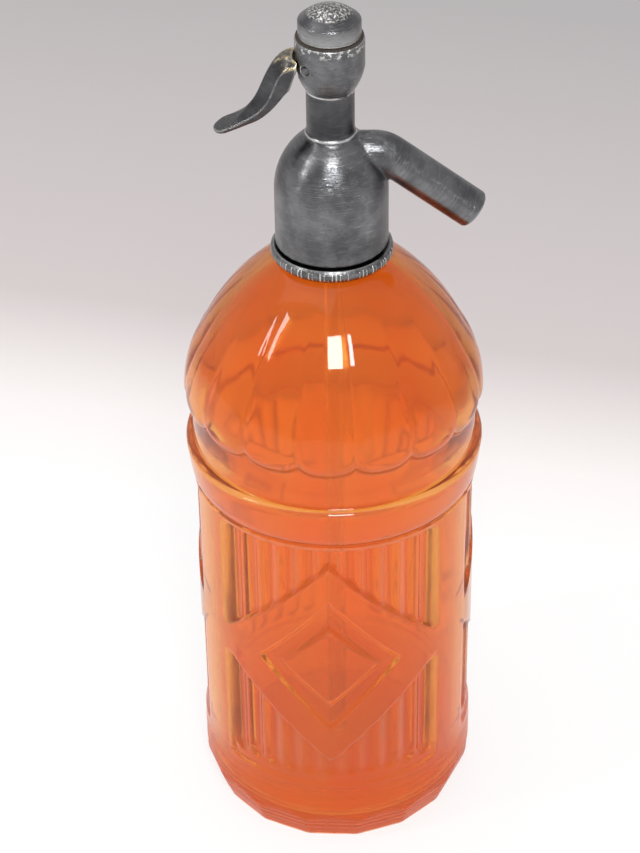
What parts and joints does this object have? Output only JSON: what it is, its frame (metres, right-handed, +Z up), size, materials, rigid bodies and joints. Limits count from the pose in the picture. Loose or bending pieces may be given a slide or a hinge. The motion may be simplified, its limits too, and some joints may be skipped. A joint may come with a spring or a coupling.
{
  "type": "soda siphon",
  "caption": "Pressed glass soda siphon with fluted diamond panels, a lobed dome, and a metal head with thumb lever, sprung valve and down-turned spout.",
  "frame": {"origin": "middle of the foot, on the surface the bottle stands on", "axes": "+Z up along the bottle's axis, +X towards the spout, so the lever is on the -X side"},
  "size_m": [0.1038, 0.1038, 0.3186],
  "materials": {
    "bottle_glass": "pressed, glossy",
    "tube_glass": "drawn, clear",
    "head_metal": "worn satin, turned",
    "cap_metal": "worn satin",
    "lever_metal": "cast, worn at the edges",
    "brass": "turned",
    "steel": "drawn wire",
    "rubber": "matt",
    "leather": "greased"
  },
  "bodies": {
    "siphon": {"glass_bottle": "bottle_glass", "dip_tube": "tube_glass", "tube_collar": "rubber", "neck_gasket": "rubber", "split_ring": "brass", "collar_ring": "head_metal", "head_casting": "head_metal", "seat_washer": "leather", "valve_seat": "brass", "top_cap": "cap_metal", "cap_washer": "leather", "lever_pin": "steel", "valve_spring": "steel"},
    "lever": {"lever": "lever_metal"},
    "plunger": {"plunger": "brass", "valve_holder": "brass", "valve_washer": "rubber", "washer_screw": "brass", "piston_cup": "leather", "spring_seat": "brass"}
  },
  "joints": [
    {"name": "plunger_lift", "type": "slide", "parent": "siphon", "child": "plunger", "axis": [0, 0, 1], "range_m": [0, 0.00114], "deforming": ["valve_spring"]},
    {"name": "lever_press", "type": "hinge", "parent": "siphon", "child": "lever", "pos_m": [-0.0079, 0, 0.2996], "axis": [0, -1, 0], "range_deg": [0, 16], "stiffness_Nm_per_rad": 0.14, "springref_deg": -45.84}
  ],
  "couplings": [
    {"joint": "lever_press", "follows": "plunger_lift", "rad_per_m": 244.5}
  ]
}
